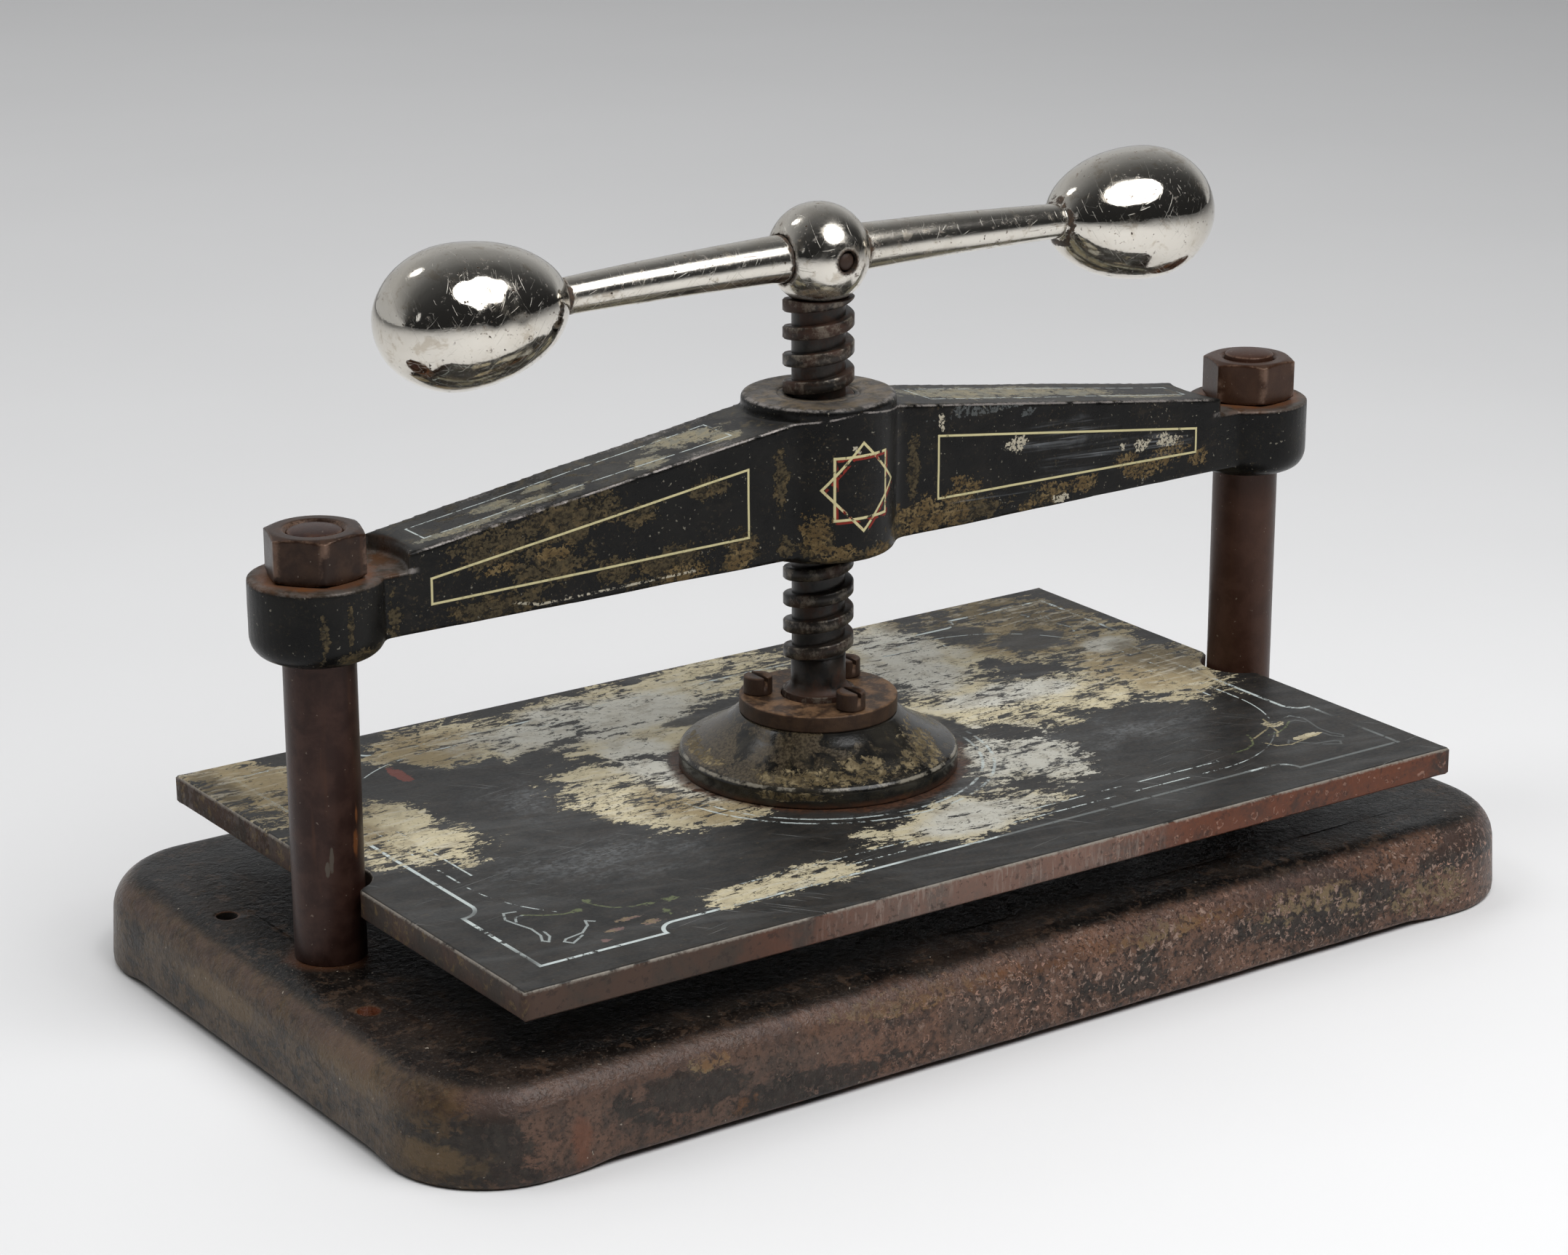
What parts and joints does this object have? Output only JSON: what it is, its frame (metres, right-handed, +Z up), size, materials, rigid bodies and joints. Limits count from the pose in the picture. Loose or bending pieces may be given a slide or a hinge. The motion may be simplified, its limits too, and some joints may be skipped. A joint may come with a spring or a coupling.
{
  "type": "copying press",
  "caption": "Iron screw press with a hollow base, upright columns, a bridge and a flat platen that a screw with a ball-ended handle drives onto the bed.",
  "frame": {"origin": "on the floor below the middle of the base", "axes": "+X along the length to the right, +Y to the back, +Z up along the screw"},
  "size_m": [0.484, 0.276, 0.2797],
  "materials": {
    "base_iron": "worn dark paint with pale blisters and ochre patches",
    "platen_iron": "slate paint, scratched and worn to ochre, pale line borders",
    "bridge_iron": "black japan with cream lines, worn at the edges",
    "socket_iron": "black paint worn to ochre at the lip",
    "column_steel": "dark red-brown patina",
    "nut_steel": "dark brown patina with bright corners",
    "screw_steel": "dark brown, oiled, with rust and bright crests",
    "plate_steel": "brown rust",
    "fastener_steel": "brown rust",
    "nickel": "old nickel plate, scratched and pitted",
    "pin_steel": "dark steel"
  },
  "bodies": {
    "frame": {"base": "base_iron", "left_column": "column_steel", "right_column": "column_steel", "left_top_nut": "nut_steel", "right_top_nut": "nut_steel", "left_base_nut": "nut_steel", "right_base_nut": "nut_steel", "bridge": "bridge_iron"},
    "platen": {"platen": "platen_iron", "screw_socket": "socket_iron", "retaining_plate": "plate_steel", "right_retaining_screw": "fastener_steel", "left_retaining_screw": "fastener_steel", "front_retaining_screw": "fastener_steel", "socket_screws": "fastener_steel"},
    "screw": {"press_screw": "screw_steel", "handle_hub": "nickel", "handle_bar": "nickel", "left_ball": "nickel", "right_ball": "nickel", "hub_pin": "pin_steel"}
  },
  "joints": [
    {"name": "platen_slide", "type": "slide", "parent": "frame", "child": "platen", "axis": [0, 0, 1], "range_m": [-0.017, 0.049]},
    {"name": "screw_turn", "type": "hinge", "parent": "platen", "child": "screw", "pos_m": [0, 0, 0.1], "axis": [0, 0, 1], "range_deg": [-605, 1740]}
  ],
  "couplings": [
    {"joint": "platen_slide", "follows": "screw_turn", "m_per_rad": 0.0016075}
  ]
}
